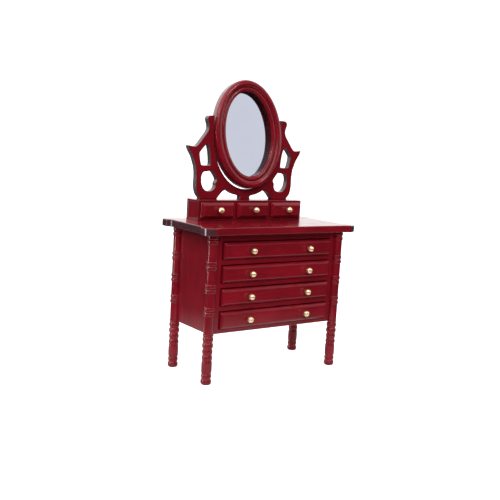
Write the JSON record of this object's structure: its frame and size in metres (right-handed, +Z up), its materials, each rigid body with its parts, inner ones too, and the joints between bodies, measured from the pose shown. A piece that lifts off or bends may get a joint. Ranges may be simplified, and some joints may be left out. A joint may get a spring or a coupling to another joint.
{
  "type": "miniature dressing table",
  "caption": "Miniature dressing table on turned legs, with long drawers, a box of small drawers and a tilting oval mirror in a lyre bracket.",
  "frame": {"origin": "on the ground under the centre of the table", "axes": "+Z up, -Y to the front where the drawers open, +X to the right seen from the front"},
  "size_m": [0.104, 0.0511, 0.1667],
  "materials": {
    "mahogany": "high gloss dark red lacquer over fine straight grain",
    "drawer_wood": "plain unfinished pale wood",
    "brass": "polished",
    "steel": "dark wire",
    "mirror": "silvered glass"
  },
  "bodies": {
    "carcass": {"tabletop": "mahogany", "side_panel_left": "mahogany", "side_panel_right": "mahogany", "back_panel": "mahogany", "floor_shelf": "drawer_wood", "shelf_2": "drawer_wood", "shelf_3": "drawer_wood", "shelf_4": "drawer_wood", "stile_left": "mahogany", "stile_right": "mahogany", "top_rail": "mahogany", "divider_rail_1": "mahogany", "divider_rail_2": "mahogany", "divider_rail_3": "mahogany", "bottom_rail": "mahogany", "post_front_left": "mahogany", "post_front_right": "mahogany", "post_back_left": "mahogany", "post_back_right": "mahogany", "box_bottom": "mahogany", "box_top": "mahogany", "box_end_left": "mahogany", "box_end_right": "mahogany", "box_back": "mahogany", "box_divider_left": "mahogany", "box_divider_right": "mahogany", "bracket": "mahogany", "pivot_pin_left": "steel", "pivot_pin_right": "steel"},
    "long_drawer_1": {"drawer_1_front": "mahogany", "drawer_1_tray": "drawer_wood", "drawer_1_knob_left": "brass", "drawer_1_knob_right": "brass"},
    "long_drawer_2": {"drawer_2_front": "mahogany", "drawer_2_tray": "drawer_wood", "drawer_2_knob_left": "brass", "drawer_2_knob_right": "brass"},
    "long_drawer_3": {"drawer_3_front": "mahogany", "drawer_3_tray": "drawer_wood", "drawer_3_knob_left": "brass", "drawer_3_knob_right": "brass"},
    "long_drawer_4": {"drawer_4_front": "mahogany", "drawer_4_tray": "drawer_wood", "drawer_4_knob_left": "brass", "drawer_4_knob_right": "brass"},
    "small_drawer_left": {"small_drawer_left_front": "mahogany", "small_drawer_left_tray": "drawer_wood", "small_drawer_left_knob": "brass"},
    "small_drawer_middle": {"small_drawer_middle_front": "mahogany", "small_drawer_middle_tray": "drawer_wood", "small_drawer_middle_knob": "brass"},
    "small_drawer_right": {"small_drawer_right_front": "mahogany", "small_drawer_right_tray": "drawer_wood", "small_drawer_right_knob": "brass"},
    "mirror": {"mirror_frame": "mahogany", "mirror_glass": "mirror", "mirror_backing": "drawer_wood"}
  },
  "joints": [
    {"name": "long_drawer_1_slide", "type": "slide", "parent": "carcass", "child": "long_drawer_1", "axis": [0, -1, 0], "range_m": [0, 0.022]},
    {"name": "long_drawer_2_slide", "type": "slide", "parent": "carcass", "child": "long_drawer_2", "axis": [0, -1, 0], "range_m": [0, 0.022]},
    {"name": "long_drawer_3_slide", "type": "slide", "parent": "carcass", "child": "long_drawer_3", "axis": [0, -1, 0], "range_m": [0, 0.022]},
    {"name": "long_drawer_4_slide", "type": "slide", "parent": "carcass", "child": "long_drawer_4", "axis": [0, -1, 0], "range_m": [0, 0.022]},
    {"name": "small_drawer_left_slide", "type": "slide", "parent": "carcass", "child": "small_drawer_left", "axis": [0, -1, 0], "range_m": [0, 0.006]},
    {"name": "small_drawer_middle_slide", "type": "slide", "parent": "carcass", "child": "small_drawer_middle", "axis": [0, -1, 0], "range_m": [0, 0.006]},
    {"name": "small_drawer_right_slide", "type": "slide", "parent": "carcass", "child": "small_drawer_right", "axis": [0, -1, 0], "range_m": [0, 0.006]},
    {"name": "mirror_tilt", "type": "hinge", "parent": "carcass", "child": "mirror", "pos_m": [0, 0.0182, 0.137], "axis": [1, 0, 0], "range_deg": [-25, 40]}
  ]
}
